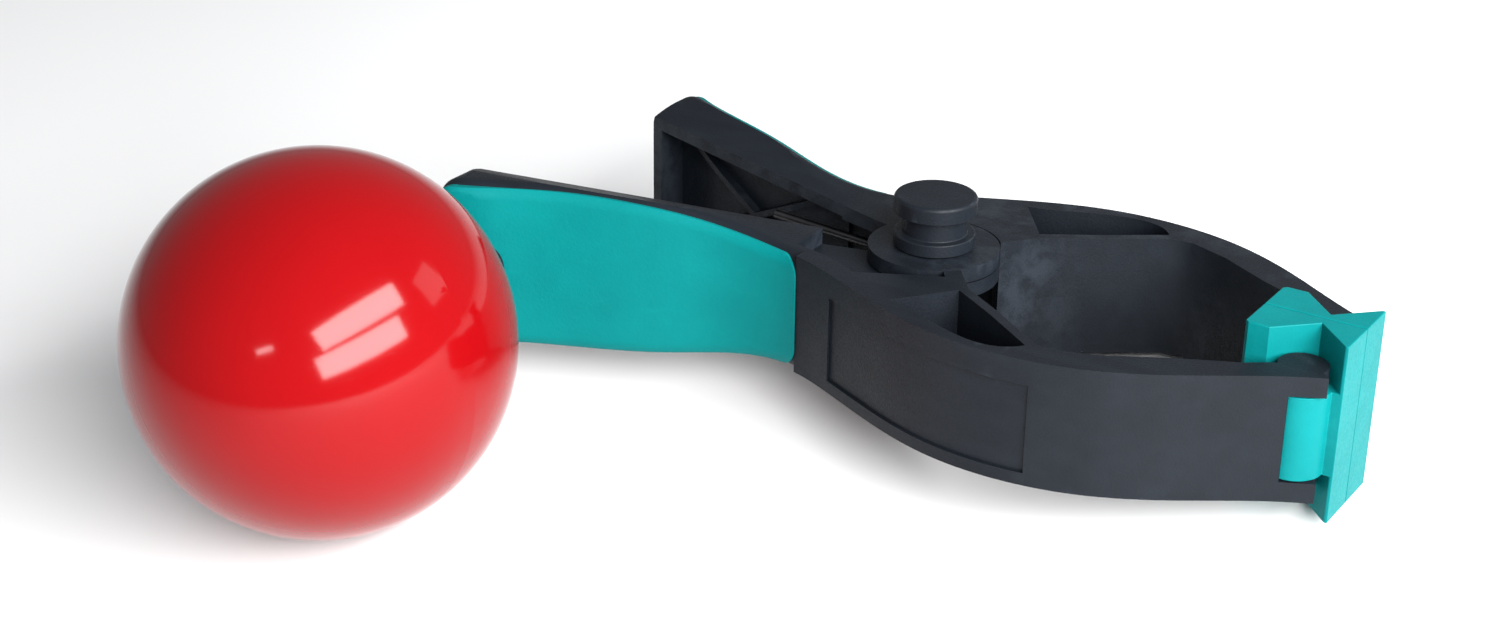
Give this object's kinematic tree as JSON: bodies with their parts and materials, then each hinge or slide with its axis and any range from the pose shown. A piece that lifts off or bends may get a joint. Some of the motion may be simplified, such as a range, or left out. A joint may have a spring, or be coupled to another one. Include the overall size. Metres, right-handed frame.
{
  "type": "clamp-on target ball",
  "caption": "Sprung plastic clamp with soft grips, swivelling jaw pads and a glossy ball on one handle, used as a clip-on target in clicker training.",
  "frame": {"origin": "in the middle of the closed pads' contact faces, where the clamp holds on", "axes": "+Z along the pivot pin towards the tall cap, +X from the pivot to the jaw tips, +Y from the lever that carries the ball towards the other lever"},
  "size_m": [0.2119, 0.1576, 0.075],
  "materials": {
    "lever_black": "fine moulded texture",
    "grip_teal": "soft matt overmould",
    "pad_teal": "satin",
    "ball_red": "high gloss",
    "nylon": "natural",
    "spring_steel": "blackened drawn wire",
    "steel": "zinc plated",
    "brass": "turned"
  },
  "bodies": {
    "front_arm": {"front_lever": "lever_black", "front_grip": "grip_teal", "front_pad_pin": "steel", "pivot_pin": "steel", "pivot_collar": "lever_black", "pivot_cap": "lever_black", "pivot_retainer": "lever_black", "spring_sleeve": "nylon", "torsion_spring": "spring_steel", "ball": "ball_red", "ball_insert": "brass", "ball_screw": "steel", "ball_washer": "steel"},
    "back_arm": {"back_lever": "lever_black", "back_grip": "grip_teal", "back_pad_pin": "steel"},
    "front_jaw_pad": {"front_pad": "pad_teal"},
    "back_jaw_pad": {"back_pad": "pad_teal"}
  },
  "joints": [
    {"name": "lever_hinge", "type": "hinge", "parent": "front_arm", "child": "back_arm", "pos_m": [-0.0784, 0, 0], "axis": [0, 0, 1], "range_deg": [0, 28], "stiffness_Nm_per_rad": 1.6, "springref_deg": -34.38, "deforming": ["torsion_spring"]},
    {"name": "front_pad_swivel", "type": "hinge", "parent": "front_arm", "child": "front_jaw_pad", "pos_m": [0.0021, -0.0095, 0], "axis": [0, 0, 1], "range_deg": [0, 14]},
    {"name": "back_pad_swivel", "type": "hinge", "parent": "back_arm", "child": "back_jaw_pad", "pos_m": [0.0021, 0.0095, 0], "axis": [0, 0, 1], "range_deg": [-14, 0]}
  ],
  "couplings": [
    {"joint": "front_pad_swivel", "follows": "lever_hinge", "ratio": 0.5},
    {"joint": "back_pad_swivel", "follows": "lever_hinge", "ratio": -0.5}
  ]
}
